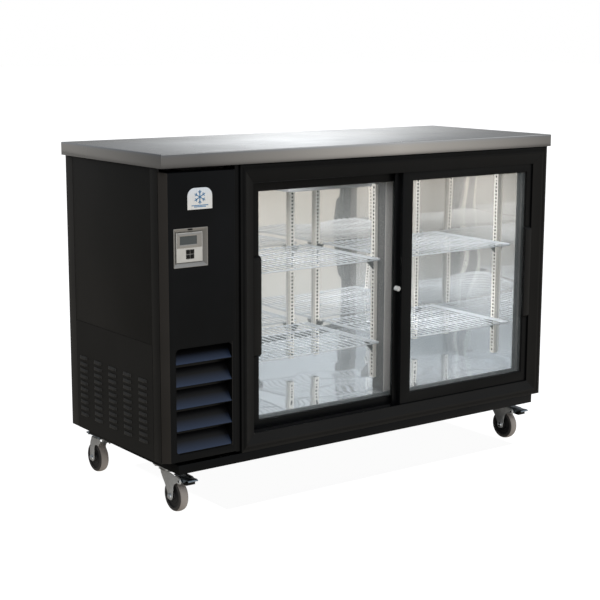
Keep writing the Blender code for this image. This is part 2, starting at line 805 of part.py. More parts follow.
def caster(corner, x, y, braked):
    """Plate fixed to the base, swivelling fork with its axle, and the wheel that trails it."""
    trail = -TRAIL if braked else TRAIL
    at = (x, y, 0)
    half, thick = 0.040, 0.003
    plate_top = BASE_BOTTOM - GAP
    plate = block(
        f"caster_plate_{corner}",
        (x - half, y - half, plate_top - thick),
        (x + half, y + half, plate_top),
        zinc(),
    )
    race_low = 0.1235
    race_high = plate_top - thick / 2
    race = rod(f"race_{corner}", 0.024, race_high - race_low, (x, y, (race_low + race_high) / 2))
    join(plate, race)

    swivel = bpy.data.objects.new(f"swivel_{corner}", None)
    swivel.location = at
    bpy.data.collections[PARTS].objects.link(swivel)

    gauge, leg_x, crown = 0.0025, 0.0215, 0.1228
    crown_front, crown_back = -0.024, 0.030
    profile = leg_profile(braked, crown, crown_front, crown_back)
    legs = [
        meshed(sheet(f"leg_{side}_{corner}", [profile], gauge, (side * leg_x, 0, 0), SIDEWAYS))
        for side in (-1, 1)
    ]
    fork = block(
        f"fork_{corner}",
        (-leg_x - gauge / 2, crown_front, crown - gauge),
        (leg_x + gauge / 2, crown_back, crown + 0.0002),
        zinc(),
        at=(0, 0, 0),
    )
    axle_turn = (0, math.radians(90), 0)
    axle = rod(f"axle_{corner}", 0.004, 2 * leg_x + 0.010, (0, trail, AXLE_Z), axle_turn, sides=12)
    for piece in (*legs, axle):
        piece.location.x += x
        piece.location.y += y
    join(fork, *legs, axle)
    fork.parent = swivel

    outer = [(0.0130, 0.0165), (0.0150, 0.0110), (0.0360, 0.0110), (0.0385, 0.0140)]
    outer += [(0.0455, 0.0150), (WHEEL_R, 0.0085)]
    rim = outer + [(r, -z) for r, z in reversed(outer)]
    bore = [(0.0052, -0.0165), (0.0052, 0.0165)]
    wheel = turned(
        f"wheel_{corner}",
        rim + bore,
        WHEEL_SIDES,
        (0, trail, AXLE_Z),
        (math.pi / WHEEL_SIDES, math.radians(90), 0),
        material("tyre_grey", (0.18, 0.16, 0.15), 0.6),
        closed=True,
    )
    wheel.rotation_mode = "ZYX"  # the half-side turn comes last, and lays a flat on the floor
    wheel.parent = swivel

    if braked:
        section = [
            (0.007, -0.005),
            (0.007, 0.007),
            (-0.020, 0.009),
            (-0.044, 0.010),
            (-0.048, 0.008),
            (-0.044, 0.005),
            (-0.018, -0.001),
            (-0.006, -0.006),
        ]
        name = f"brake_pedal_{corner}"
        pedal = sheet(name, [section], 0.034, (0, PEDAL_Y, PEDAL_Z), SIDEWAYS, zinc())
        pedal.parent = swivel


def build_casters():
    for side, x in (("left", -CASTER_X), ("right", CASTER_X)):
        caster(f"front_{side}", x, CASTER_FRONT_Y, True)
        caster(f"rear_{side}", x, CASTER_REAR_Y, False)


def main():
    clear_scene()
    build_case()
    build_side_panels()
    build_surround()
    build_tracks()
    build_doors()
    build_front_cover()
    build_controls()
    build_badge()
    build_grille()
    build_mullion()
    build_standards()
    build_shelves()
    build_machine()
    build_casters()


main()
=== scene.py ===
"""Looks for the back-bar cooler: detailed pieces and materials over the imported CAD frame, a pale
studio floor, soft light and the camera. Everything is in metres, in the frame of the CAD model.
"""

import math

import bmesh
import bpy
from mathutils import Matrix, Vector


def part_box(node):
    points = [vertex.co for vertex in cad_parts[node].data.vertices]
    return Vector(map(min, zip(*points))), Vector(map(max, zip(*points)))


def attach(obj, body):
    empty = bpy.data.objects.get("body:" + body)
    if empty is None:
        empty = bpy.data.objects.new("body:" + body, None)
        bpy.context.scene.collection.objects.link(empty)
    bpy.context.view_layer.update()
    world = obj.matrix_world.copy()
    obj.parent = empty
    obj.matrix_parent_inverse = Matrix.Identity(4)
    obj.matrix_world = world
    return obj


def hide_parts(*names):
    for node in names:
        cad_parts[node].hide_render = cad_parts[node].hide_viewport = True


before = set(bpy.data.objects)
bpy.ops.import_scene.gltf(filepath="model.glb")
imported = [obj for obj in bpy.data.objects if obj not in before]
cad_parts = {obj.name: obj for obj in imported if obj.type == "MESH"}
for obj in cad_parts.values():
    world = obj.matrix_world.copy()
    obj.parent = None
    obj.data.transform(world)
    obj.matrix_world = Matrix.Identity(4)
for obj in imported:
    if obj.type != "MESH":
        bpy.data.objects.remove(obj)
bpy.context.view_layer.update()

AXES = {"x": Vector((1, 0, 0)), "y": Vector((0, 1, 0)), "z": Vector((0, 0, 1))}
WHITE = (1, 1, 1, 1)

# The studio: warm from the floor, cool from above, brighter in front than behind
FLOOR_GLOW, SKY_GLOW = (1.0, 0.945, 0.86, 1), (0.94, 0.975, 1.01, 1)
BACK_LEVEL, FRONT_LEVEL, FRONT_BEARING = 0.25, 0.84, 140
SOFTBOX_BEARING, SOFTBOX_WIDTH, SOFTBOX_LEVEL = 36.15, 3.6, 1.32

# The camera, as solved from the photograph's straight edges. The angles are in degrees.
CAMERA_PLACE = (-2.79349, -3.70475, 1.39765)
CAMERA_AZIMUTH, CAMERA_ELEVATION, CAMERA_ROLL = -36.33868, 10.47863, 0.17635
CAMERA_LENS, CAMERA_SENSOR = 84.6, 36

NOISE_LOW, NOISE_HIGH = 0.3, 0.7  # most of a noise texture's values lie between these
FINE = 0.0002  # height of a surface's grain


# ---------------------------------------------------------------- node trees and materials

class Tree:
    """A node tree, with short calls for the nodes that this script uses."""

    def __init__(self, owner):
        owner.use_nodes = True
        self.tree = owner.node_tree

    def link(self, source, socket):
        """Links an output to a socket, or gives the socket a plain value."""
        if isinstance(source, bpy.types.NodeSocket):
            self.tree.links.new(source, socket)
        else:
            socket.default_value = source

    def add(self, kind, inputs=None):
        node = self.tree.nodes.new("ShaderNode" + kind)
        for name, source in (inputs or {}).items():
            self.link(source, node.inputs[name])
        return node

    def mapped(self, value, start, end, low=0.0, high=1.0):
        """A node that moves the value from start and end onto low and high."""
        return self.add("MapRange", {
            "Value": value, "From Min": start, "From Max": end, "To Min": low, "To Max": high,
        })


class Surface(Tree):
    """A material's node tree."""

    def __init__(self, name):
        self.material = bpy.data.materials.new(name)
        super().__init__(self.material)
        self.place = self.add("TexCoord").outputs["Object"]

    def noise(self, scale, detail=3.0):
        return self.add("TexNoise", {
            "Vector": self.place, "Scale": scale, "Detail": detail,
        }).outputs["Fac"]

    def lines(self, stretch):
        """Fine lines across the directions that the object's coordinates are stretched in."""
        spread = self.add("Mapping", {"Vector": self.place, "Scale": stretch}).outputs["Vector"]
        return self.add("TexNoise", {
            "Vector": spread, "Scale": 1.0, "Detail": 3.0, "Roughness": 0.6,
        }).outputs["Fac"]

    def along(self, axis, start, end):
        """From 0 to 1 between two places along one of the object's axes."""
        split = self.add("SeparateXYZ", {0: self.place})
        return self.mapped(split.outputs[axis], start, end).outputs["Result"]

    def ramp(self, value, low, high, start=NOISE_LOW, end=NOISE_HIGH, last=None):
        """A colour that goes from low to high between start and end, and then on to last."""
        node = self.add("ValToRGB", {"Fac": value})
        stops = node.color_ramp.elements
        for i, (at, colour) in enumerate(((start, low), (end, high))):
            stops[i].position = at
            stops[i].color = (*colour, 1)
        if last:
            stops.new(1.0).color = (*last, 1)
        return node.outputs["Color"]

    def span(self, noise, low, high):
        """A noise, moved onto low to high."""
        return self.mapped(noise, NOISE_LOW, NOISE_HIGH, low, high).outputs["Result"]

    def bump(self, height, strength, distance=FINE, after=None):
        node = self.add("Bump", {"Height": height, "Strength": strength, "Distance": distance})
        if after:
            self.link(after, node.inputs["Normal"])
        return node.outputs["Normal"]

    def finished(self, **inputs):
        """The material, with these inputs of its shader set or linked."""
        shader = self.tree.nodes["Principled BSDF"]
        for name, source in inputs.items():
            self.link(source, shader.inputs[name.replace("_", " ").title().replace("Ior", "IOR")])
        return self.material


def brushed(name, low, high, roughness, stretch, bump=0.25, metallic=1.0):
    """Brushed metal. stretch is the grain's stretch along x, y and z."""
    made = Surface(name)
    grain = made.lines(stretch)
    return made.finished(
        base_color=made.ramp(grain, low, high),
        roughness=made.span(made.noise(3.0), roughness * 0.85, roughness * 1.25),
        normal=made.bump(grain, bump), metallic=metallic,
    )


def painted(name, low, high, roughness, specular, grain, bump):
    """Powder-coated or moulded surface with a fine grain."""
    made = Surface(name)
    fine = made.noise(grain)
    return made.finished(
        base_color=made.ramp(made.noise(5.0), low, high),
        roughness=made.span(fine, roughness * 0.9, roughness * 1.12),
        normal=made.bump(fine, bump), specular_ior_level=specular,
    )


def bright_sheet():
    """Polished, slightly wavy liner with a painted reflection of the room, warm above, cool below.
    """
    made = Surface("liner_bright")
    waves = made.noise(3.0, 1.0)
    # painted reflection: the colour goes from cool at the bottom to warm at the top
    height = made.along("Z", 0.35, 0.85)
    return made.finished(
        base_color=made.ramp(height, (0.805, 0.835, 0.86), (0.87, 0.835, 0.79), 0.0, 1.0),
        roughness=made.span(waves, 0.022, 0.036),
        normal=made.bump(made.lines((4, 4, 300)), 0.02, FINE, made.bump(waves, 0.5, 0.012)),
        metallic=0.76,
    )


def worktop_rim(name, axis, brightest, reach, low, high):
    """Brushed edge of the worktop, with a painted reflection of the room: brightest at one place.
    """
    made = Surface(name)
    # painted reflection: brightest at brightest, darker within reach to both sides
    place = made.along(axis, brightest - reach, brightest + reach)
    return made.finished(
        base_color=made.ramp(place, low, high, 0.0, 0.5, low),
        roughness=made.span(made.noise(3.0), 0.26, 0.36),
        normal=made.bump(made.lines((6, 6, 900)), 0.25), metallic=1.0,
    )


def louvre_painted_light():
    """Black coat with a painted blue reflection, fading into painted shade towards the back of each
    slat.
    """
    made = Surface("louvre_painted_light")
    fine = made.noise(900)
    # painted shade: darker towards the back of each slat, under the slat above
    depth = made.along("Y", -0.2955, -0.2725)
    return made.finished(
        base_color=made.ramp(depth, (0.022, 0.037, 0.076), (0.0015, 0.0015, 0.002), 0.0, 1.0),
        roughness=made.span(fine, 0.40, 0.50),
        normal=made.bump(fine, 0.12), specular_ior_level=0.25,
    )


def clear_glass():
    made = Surface("door_glass_clear")
    smudge = made.noise(9.0, 4.0)
    return made.finished(
        base_color=made.ramp(smudge, (0.70, 0.78, 0.78), (0.76, 0.83, 0.83)),
        roughness=made.span(smudge, 0.02, 0.05), alpha=0.06, specular_ior_level=0.6,
    )


# look: (material, darkest and lightest colour, roughness, stretch of the grain, bump, metallic)
BRUSHED = {
    "worktop": ("worktop_brushed", (0.56, 0.55, 0.535), (0.70, 0.69, 0.675), 0.23, (6, 900, 60)),
    "bezel": ("bezel_silver", (0.30, 0.295, 0.285), (0.38, 0.37, 0.355),
        0.36, (700, 700, 700), 0.1),
    "wire": ("shelf_chrome_wire", (0.80, 0.85, 0.90), (0.92, 0.95, 0.98),
        0.20, (300, 300, 300), 0.05, 0.45),
    "clip": ("clip_zinc", (0.055, 0.055, 0.055), (0.095, 0.093, 0.09),
        0.34, (200, 200, 200), 0.08, 0.5),
    "zinc": ("caster_zinc", (0.60, 0.61, 0.61), (0.76, 0.77, 0.77), 0.28, (90, 90, 90), 0.12, 0.35),
    "zinc_bright": ("axle_zinc_bright", (0.74, 0.78, 0.82), (0.88, 0.90, 0.92),
        0.18, (90, 90, 90), 0.05),
    "galvanised": ("galvanised_sheet", (0.36, 0.37, 0.38), (0.50, 0.51, 0.52),
        0.42, (30, 30, 30), 0.05),
    "pedal": ("pedal_dark_zinc", (0.16, 0.20, 0.24), (0.26, 0.30, 0.34), 0.28, (90, 90, 90), 0.1),
    "coil": ("condenser_aluminium", (0.30, 0.31, 0.32), (0.42, 0.43, 0.44),
        0.38, (60, 60, 60), 0.05),
    "badge": ("badge_satin", (0.72, 0.75, 0.79), (0.86, 0.88, 0.90), 0.30, (500, 30, 30), 0.05),
}

# look: (material, darkest and lightest colour, roughness, specular level, grain's scale, bump)
PAINTED = {
    "side": ("side_powder_coat", (0.006, 0.006, 0.0055), (0.010, 0.0095, 0.009),
        0.50, 0.30, 900, 0.35),
    "cover": ("cover_powder_coat", (0.003, 0.0035, 0.004), (0.005, 0.0055, 0.0065),
        0.42, 0.08, 1100, 0.15),
    "frame": ("frame_anodised", (0.003, 0.0033, 0.0036), (0.005, 0.0055, 0.006),
        0.34, 0.09, 1500, 0.05),
    # the frame's coat painted lighter: painted light on the surround's right and bottom parts
    "frame_painted_lit": ("frame_painted_lit_anodised", (0.0070, 0.0068, 0.0066), (0.0095, 0.0092, 0.0088),
        0.34, 0.12, 1500, 0.05),
    "track": ("track_plastic", (0.003, 0.003, 0.0035), (0.005, 0.005, 0.0055),
        0.45, 0.10, 900, 0.1),
    "plastic": ("black_moulded", (0.003, 0.003, 0.003), (0.006, 0.006, 0.006),
        0.38, 0.15, 1200, 0.15),
    "mullion": ("mullion_moulded", (0.085, 0.078, 0.075), (0.105, 0.098, 0.096),
        0.38, 0.3, 600, 0.08),
    # the cover's coat painted lighter: a painted reflection on the cover's bevel
    "cover_bevel_painted_sheen": ("cover_bevel_painted_sheen_coat", (0.034, 0.031, 0.028), (0.041, 0.037, 0.034),
        0.45, 0.1, 1100, 0.15),
    # the side's coat painted lighter on the louvres: painted highlight
    "vent": ("vent_hood_painted_sheen", (0.021, 0.020, 0.019), (0.029, 0.028, 0.0265), 0.36, 0.45, 900, 0.2),
    # a painted glint at the rear-top end of each louvre
    "vent_painted_glint": ("vent_painted_glint_coat", (0.060, 0.058, 0.055), (0.080, 0.077, 0.073),
        0.30, 0.6, 900, 0.1),
    # the side's coat painted lighter on the rear post: painted highlight
    "side_post": ("rear_post_painted_highlight", (0.029, 0.028, 0.0265), (0.036, 0.0345, 0.0325),
        0.48, 0.30, 900, 0.3),
    # the mullion's coat painted much lighter: painted light on its front face
    "mullion_painted_lit_face": ("mullion_painted_lit_face", (0.62, 0.58, 0.56), (0.70, 0.66, 0.635), 0.40, 0.3, 600, 0.08),
    "controller": ("controller_pale", (0.53, 0.52, 0.49), (0.60, 0.59, 0.56),
        0.40, 0.3, 1500, 0.08),
    "lcd": ("display_dark", (0.045, 0.055, 0.058), (0.060, 0.072, 0.075), 0.16, 0.5, 400, 0.0),
    "standard": ("standard_cream", (0.84, 0.80, 0.74), (0.90, 0.86, 0.80), 0.38, 0.5, 600, 0.05),
    "tyre": ("tyre_polyurethane", (0.31, 0.28, 0.26), (0.39, 0.355, 0.33), 0.55, 0.35, 500, 0.2),
    "tyre_side": ("tyre_sidewall", (0.050, 0.047, 0.046), (0.070, 0.065, 0.062),
        0.45, 0.35, 500, 0.15),
    "hub": ("hub_moulded", (0.012, 0.012, 0.013), (0.022, 0.022, 0.023), 0.42, 0.4, 700, 0.15),
    "fan": ("fan_moulded", (0.20, 0.21, 0.22), (0.27, 0.28, 0.29), 0.40, 0.4, 500, 0.1),
    "housing": ("evaporator_moulded", (0.16, 0.165, 0.17), (0.21, 0.215, 0.22),
        0.42, 0.4, 500, 0.1),
    "compressor": ("compressor_enamel", (0.012, 0.012, 0.013), (0.020, 0.020, 0.021),
        0.30, 0.5, 300, 0.1),
    "badge_blue": ("badge_blue_enamel", (0.030, 0.17, 0.36), (0.045, 0.22, 0.44),
        0.30, 0.5, 600, 0.02),
}

MATERIALS = {look: brushed(*row) for look, row in BRUSHED.items()}
MATERIALS.update({look: painted(*row) for look, row in PAINTED.items()})
MATERIALS.update({
    # the worktop's edges, with a painted reflection along them
    "worktop_front": worktop_rim(
        "worktop_front_rim", "X", 0.10, 0.75, (0.165, 0.168, 0.175), (0.50, 0.50, 0.505)),
    "worktop_side": worktop_rim(
        "worktop_side_rim", "Y", 0.36, 0.66, (0.36, 0.37, 0.385), (0.90, 0.92, 0.96)),
    "liner": bright_sheet(),
    "slat": louvre_painted_light(),
    "glass": clear_glass(),
})


# ---------------------------------------------------------------- mesh helpers

AXIS_GAP = 0.0001  # a turned profile stays this far off its axis
SHARP = 30  # an edge that turns by more degrees than this gets rounded


def add_box(bm, low, high):
    for vert in bmesh.ops.create_cube(bm, size=1)["verts"]:
        for i in range(3):
            vert.co[i] = low[i] if vert.co[i] < 0 else high[i]


def add_rod(bm, start, end, radius, sides=8, far_radius=None):
    start, end = Vector(start), Vector(end)
    along = end - start
    turn = along.to_track_quat("Z", "Y").to_matrix().to_4x4()
    place = Matrix.Translation((start + end) / 2) @ turn
    bmesh.ops.create_cone(
        bm, cap_ends=True, segments=sides, radius1=radius,
        radius2=radius if far_radius is None else far_radius, depth=along.length, matrix=place,
    )


def add_prism(bm, outline, axis, start, end):
    """An outline extruded along x, y or z. Its points are the two other coordinates, in order."""
    def at(point, along):
        values = list(point)
        values.insert("xyz".index(axis), along)
        return values

    near = [bm.verts.new(at(p, start)) for p in outline]
    far = [bm.verts.new(at(p, end)) for p in outline]
    faces = [bm.faces.new(near), bm.faces.new(far)]
    for i, vert in enumerate(near):
        j = (i + 1) % len(near)
        faces.append(bm.faces.new((vert, near[j], far[j], far[i])))
    bmesh.ops.recalc_face_normals(bm, faces=faces)


def add_turned(bm, profile, centre, axis, sides):
    """A closed ring profile of (radius, along) points, turned about an axis through centre."""
    along = AXES[axis]
    side = AXES["z"] if axis != "z" else AXES["x"]
    other = along.cross(side)
    rings = []
    for i in range(sides):
        turn = 2 * math.pi * i / sides
        out = side * math.cos(turn) + other * math.sin(turn)
        rings.append([bm.verts.new(Vector(centre) + out * r + along * h) for r, h in profile])
    faces = []
    for i in range(sides):
        here, there = rings[i], rings[(i + 1) % sides]
        for k in range(len(profile)):
            m = (k + 1) % len(profile)
            faces.append(bm.faces.new((here[k], there[k], there[m], here[m])))
    bmesh.ops.recalc_face_normals(bm, faces=faces)


def soften(bm, width, segments=2):
    """Rounds every sharp edge."""
    sharp = [
        e for e in bm.edges if len(e.link_faces) == 2 and e.calc_face_angle(0) > math.radians(SHARP)
    ]
    bmesh.ops.bevel(
        bm, geom=sharp, offset=width, segments=segments, affect="EDGES", clamp_overlap=True,
        profile=0.5,
    )


def new_object(name, data):
    obj = bpy.data.objects.new(name, data)
    bpy.context.scene.collection.objects.link(obj)
    return obj


def mesh_object(name, bm, material):
    mesh = bpy.data.meshes.new(name)
    bm.to_mesh(mesh)
    bm.free()
    mesh.materials.append(material)
    return new_object(name, mesh)


def piece(name, bm, look, body="cabinet", nodes=(), smooth=40):
    """Turns a bmesh into a finished piece that rides on a body."""
    obj = mesh_object(name, bm, MATERIALS[look])
    obj.data.shade_smooth()
    obj.data.set_sharp_from_angle(angle=math.radians(smooth))
    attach(obj, body)
    if nodes:
        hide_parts(*nodes)
    return obj


def block(name, look, slot, low, high, body="cabinet", edge=0.0):
    """A piece that is one box, with rounded edges where edge isn't 0."""
    bm = bmesh.new()
    add_box(bm, low, high)
    if edge:
        soften(bm, edge)
    return piece(name, bm, look, body)


def from_node(node):
    """The CAD node's shape with its triangles joined into flat faces."""
    bm = bmesh.new()
    bm.from_mesh(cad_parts[node].data)
    bmesh.ops.remove_doubles(bm, verts=bm.verts, dist=1e-6)
    bmesh.ops.dissolve_limit(bm, angle_limit=math.radians(1), verts=bm.verts, edges=bm.edges)
    bmesh.ops.recalc_face_normals(bm, faces=bm.faces)
    return bm


def refined(node, look, body="cabinet", edge=0.0008, segments=2):
    """The CAD node's shape with rounded edges."""
    bm = from_node(node)
    soften(bm, edge, segments)
    return piece(node + "_finish", bm, look, body, [node])


def thicken(obj, wall):
    """Gives a sheet its thickness, inwards."""
    sheet = obj.modifiers.new("sheet", "SOLIDIFY")
    sheet.thickness = wall
    sheet.offset = -1


def recoat(obj, look, chosen):
    """Gives the faces that chosen(face) picks another material."""
    obj.data.materials.append(MATERIALS[look])
    index = len(obj.data.materials) - 1
    for face in obj.data.polygons:
        if chosen(face):
            face.material_index = index


def arc(centre, radius, start, end, steps):
    """Points on an arc, between two angles in degrees."""
    turns = [math.radians(start + (end - start) * i / steps) for i in range(steps + 1)]
    return [(centre[0] + radius * math.cos(t), centre[1] + radius * math.sin(t)) for t in turns]


def keep(node, look):
    """Leaves the CAD node in view, with a finished material."""
    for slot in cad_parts[node].material_slots:
        slot.material = MATERIALS[look]


# ---------------------------------------------------------------- worktop and case

def build_worktop():
    low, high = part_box("worktop")
    bm = bmesh.new()
    add_box(bm, low, high)
    bmesh.ops.recalc_face_normals(bm, faces=bm.faces)
    rims = [e for e in bm.edges if sum(v.co.z for v in e.verts) / 2 > low.z + 0.001]
    bmesh.ops.bevel(bm, geom=rims, offset=0.0028, segments=4, affect="EDGES", profile=0.5)
    under = [f for f in bm.faces if f.normal.z < -0.9]
    bmesh.ops.delete(bm, geom=under, context="FACES_ONLY")
    obj = piece("worktop_sheet", bm, "worktop", nodes=["worktop"], smooth=50)
    # the front and side edges get the rim materials, which carry a painted reflection
    recoat(obj, "worktop_front", lambda face: abs(face.normal.y) > 0.5 > abs(face.normal.z))
    recoat(obj, "worktop_side", lambda face: abs(face.normal.x) > 0.5)
    thicken(obj, 0.0012)


def build_left_side():
    """Rear post, front strip and upper panel, with the seams between them."""
    low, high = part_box("left_side_panel")
    vent_low, vent_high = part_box("side_vent_panel")
    seam, edge = 0.0012, 0.0005
    post = (low.x, vent_high.y + seam, low.z)
    # the rear post is painted lighter than the panel beside it: painted highlight
    block("side_rear_post", "side_post", "black_panel", post, high, edge=edge)
    bm = bmesh.new()
    add_box(bm, low, (high.x, vent_low.y - seam, high.z))
    upper = (low.x + edge, vent_low.y, vent_high.z + seam)
    add_box(bm, upper, (high.x, vent_high.y, high.z))
    soften(bm, edge)
    piece("side_panel_sheets", bm, "side", nodes=["left_side_panel"])
    backing = (low.x + seam, low.y + 0.001, low.z), (low.x + 0.006, high.y - 0.001, high.z)
    block("side_panel_backing", "side", "black_panel", *backing)


def vent_hood(bm, x, rear, front, top, bottom, proud):
    """One pressed louvre: closed at the top and the ends, open below."""
    along, up, end_share, fullness = 8, 5, 0.16, 0.8
    rows = []
    for j in range(up + 1):
        t = j / up
        row = []
        for i in range(along + 1):
            s = i / along
            taper = min(1.0, min(s, 1 - s) / end_share)
            rise = math.sin(t * math.pi / 2) ** fullness * math.sin(taper * math.pi / 2)
            place = (x - proud * rise, rear + (front - rear) * s, top + (bottom - top) * t)
            row.append(bm.verts.new(place))
        rows.append(row)
    for j in range(up):
        for i in range(along):
            bm.faces.new((rows[j][i], rows[j][i + 1], rows[j + 1][i + 1], rows[j + 1][i]))


def build_side_vents():
    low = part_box("side_vent_panel")[0]
    sheet = from_node("side_vent_panel")
    piece("vent_panel_sheet", sheet, "side", nodes=["side_vent_panel"])
    columns, column_pitch, first_column = 5, 0.092, 0.0815 - 0.045
    rows, row_pitch, first_row = 10, 0.0205, 0.049
    long, above, below, proud = 0.0465, 0.0062, 0.0042, 0.0042
    bm = bmesh.new()
    for column in range(columns):
        y = low.y + first_column + column * column_pitch
        for row in range(rows):
            z = low.z + first_row + row * row_pitch
            vent_hood(bm, low.x + 0.0002, y + long, y - 0.0015, z + above, z - below, proud)
    # the louvres are painted lighter than the sheet they are pressed from: painted highlight
    hoods = piece("vent_louvres", bm, "vent", smooth=60)
    # painted highlight: the rear-top end faces of each louvre get a bright glint
    recoat(hoods, "vent_painted_glint", lambda face: face.normal.y > 0.15 and face.normal.z > 0.05)
    thicken(hoods, 0.0009)


def build_case():
    refined("right_side_panel", "side", edge=0.0005)
    refined("rear_cover", "side", edge=0.0004, segments=1)
    refined("insulated_body", "galvanised", edge=0.0012)
    keep("inner_liner", "liner")
    refined("base_frame", "cover", edge=0.0008)
    mullion = refined("centre_mullion", "mullion", edge=0.0008)
    # painted light: the front face gets a much lighter copy of the mullion's coat
    recoat(mullion, "mullion_painted_lit_face", lambda face: face.normal.y < -0.5)


def screw_heads(name, look, axis, places):
    """A pan-head screw at each place, on a face that looks along the axis."""
    bm = bmesh.new()
    radius, flat, out = 0.0042, 0.0022, AXES[axis] * 0.0016
    for place in places:
        add_rod(bm, place - out * 0.2, place + out * 0.5, radius, 16)
        add_rod(bm, place + out * 0.45, place + out, radius, 16, flat)
    piece(name, bm, look, smooth=30)


def build_fixings():
    """Screws that hold the back sheet, the rear cover and the right side panel."""
    def row(start, end, count):
        return [start + (end - start) * i / (count - 1) for i in range(count)]

    low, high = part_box("insulated_body")
    screw_heads("back_sheet_screws", "zinc", "y", [
        Vector((x, high.y, z))
        for x in row(low.x + 0.03, high.x - 0.03, 6) for z in (low.z + 0.02, high.z - 0.03)])
    low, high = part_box("rear_cover")
    screw_heads("rear_cover_screws", "zinc", "y", [
        Vector((x, high.y, z))
        for x in (low.x + 0.012, high.x - 0.012) for z in row(low.z + 0.03, high.z - 0.05, 4)])
    low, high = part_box("right_side_panel")
    screw_heads("right_panel_screws", "side", "x", [
        Vector((high.x, y, z))
        for y in (low.y + 0.02, high.y - 0.02) for z in row(low.z + 0.04, high.z - 0.06, 3)])


# ---------------------------------------------------------------- door surround and doors

def picture_frame(bm, outer, inner, section):
    """Four mitred members. section gives (share of the way in, y), from the outside to the
    inside and back."""
    mitre_gap = 0.00012
    corners = [
        ((outer[i][0], outer[j][1]), (inner[i][0], inner[j][1]))
        for i, j in ((0, 0), (1, 0), (1, 1), (0, 1))
    ]
    for side in range(4):
        ends = []
        for k, away in ((side, (side + 1) % 4), ((side + 1) % 4, side)):
            (ox, oz), (ix, iz) = corners[k]
            (tx, tz), _ = corners[away]
            step = Vector((tx - ox, 0, tz - oz)).normalized() * mitre_gap
            ends.append([
                bm.verts.new((ox + (ix - ox) * t + step.x, y, oz + (iz - oz) * t + step.z))
                for t, y in section
            ])
        near, far = ends
        faces = [bm.faces.new(near), bm.faces.new(far)]
        for i in range(len(near)):
            j = (i + 1) % len(near)
            faces.append(bm.faces.new((near[i], near[j], far[j], far[i])))
        bmesh.ops.recalc_face_normals(bm, faces=faces)


def build_surround():
    low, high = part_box("upper_track")
    gap = 0.0003
    jamb_left, jamb_right, head = low.x - gap, high.x + gap, high.z + gap
    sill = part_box("lower_track")[0].z - gap
    outer = ((-0.502, 0.167), (0.767, 1.0397))
    inner = ((-0.451, 0.219), (0.709, 0.981))
    face, lip_edge, lip_back = -0.295, -0.2875, -0.2845
    edge, groove_deep = 0.0016, 0.0007
    section = [(0.0, lip_back), (0.0, face + edge), (0.008, face + edge * 0.35), (0.030, face)]
    for groove in (0.165, 0.215, 0.265):
        section += [(groove - 0.012, face), (groove - 0.007, face + groove_deep),
                    (groove + 0.007, face + groove_deep), (groove + 0.012, face)]
    section += [(0.400, face), (0.415, face + 0.0004), (0.990, lip_edge - 0.0002),
                (1.0, lip_edge + 0.0006), (1.0, lip_back)]
    bm = bmesh.new()
    picture_frame(bm, outer, inner, section)
    face = piece("surround_face", bm, "frame", nodes=["door_surround"], smooth=25)
    # painted light: the right and bottom parts of the face get a lighter copy of the frame
    recoat(face, "frame_painted_lit", lambda face: (
        face.normal.y < -0.3 and (face.center.x > 0.70 or face.center.z < 0.24)))

    bm = bmesh.new()
    back = -0.2058
    walls = (
        ((outer[0][0], lip_back, outer[0][1]), (jamb_left, back, outer[1][1])),
        ((jamb_right, lip_back, outer[0][1]), (outer[1][0], back, outer[1][1])),
        ((jamb_left, lip_back, outer[0][1]), (jamb_right, back, sill)),
        ((jamb_left, lip_back, head), (jamb_right, back, outer[1][1])),
        ((-0.5295, -0.2668, 0.1723), (-0.500, -0.2656, 1.0387)),
        ((-0.5180, -0.2885, 0.1723), (-0.5025, -0.2660, 1.0387)),
    )
    for corner, other in walls:
        add_box(bm, corner, other)
    soften(bm, 0.0005, 1)
    channel = piece("surround_channel", bm, "frame")
    inward = jamb_right - 0.0001
    recoat(channel, "mullion", lambda face: (
        face.normal.x < -0.9 and abs(face.center.x - inward) < 0.0005))


def rectangular_frame(bm, low, high, wide, section):
    """A picture frame that is equally wide on its four sides."""
    inner = ((low[0] + wide, low[1] + wide), (high[0] - wide, high[1] - wide))
    picture_frame(bm, (low, high), inner, section)


def build_door(side, y, opening):
    body, glass_node, reveal = f"{side}_door", f"{side}_door_glass", 0.001
    refined(f"{body}_frame", "frame", body, edge=0.0009)
    (left, low), (right, high) = opening
    seat, wide, proud = y + 0.0052, 0.0035, 0.002
    section = [(0.0, seat), (0.0, seat - proud * 0.4), (0.35, seat - proud),
               (0.75, seat - proud * 0.7), (1.0, seat)]
    bm = bmesh.new()
    corners = (left - reveal, low - reveal), (right + reveal, high + reveal)
    rectangular_frame(bm, *corners, wide, section)
    piece(f"{side}_glass_gasket", bm, "plastic", body)

    low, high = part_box(glass_node)
    pane, gap, spacer_wide = 0.0032, 0.0001, 0.0078
    bm = bmesh.new()
    add_box(bm, low, (high.x, low.y + pane, high.z))
    add_box(bm, (low.x, high.y - pane, low.z), high)
    piece(f"{side}_double_glazing", bm, "glass", body, [glass_node])
    bm = bmesh.new()
    near, far = low.y + pane + gap, high.y - pane - gap
    section = [(0.0, near), (1.0, near), (1.0, far), (0.0, far)]
    rectangular_frame(bm, (low.x, low.z), (high.x, high.z), spacer_wide, section)
    piece(f"{side}_glass_spacer", bm, "plastic", body)


def build_handle(side):
    body, node = f"{side}_door", f"{side}_door_handle"
    low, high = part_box(node)
    x, from_end, head, socket = (low.x + high.x) / 2, 0.030, 0.0034, 0.0018
    refined(node, "plastic", body, edge=0.0022, segments=3)
    bm = bmesh.new()
    for z in (low.z + from_end, high.z - from_end):
        add_rod(bm, (x, low.y + 0.0004, z), (x, low.y - 0.0004, z), head, 16)
        add_rod(bm, (x, low.y - 0.0003, z), (x, low.y - 0.0006, z), socket, 6)
    piece(f"{side}_handle_screws", bm, "plastic", body)


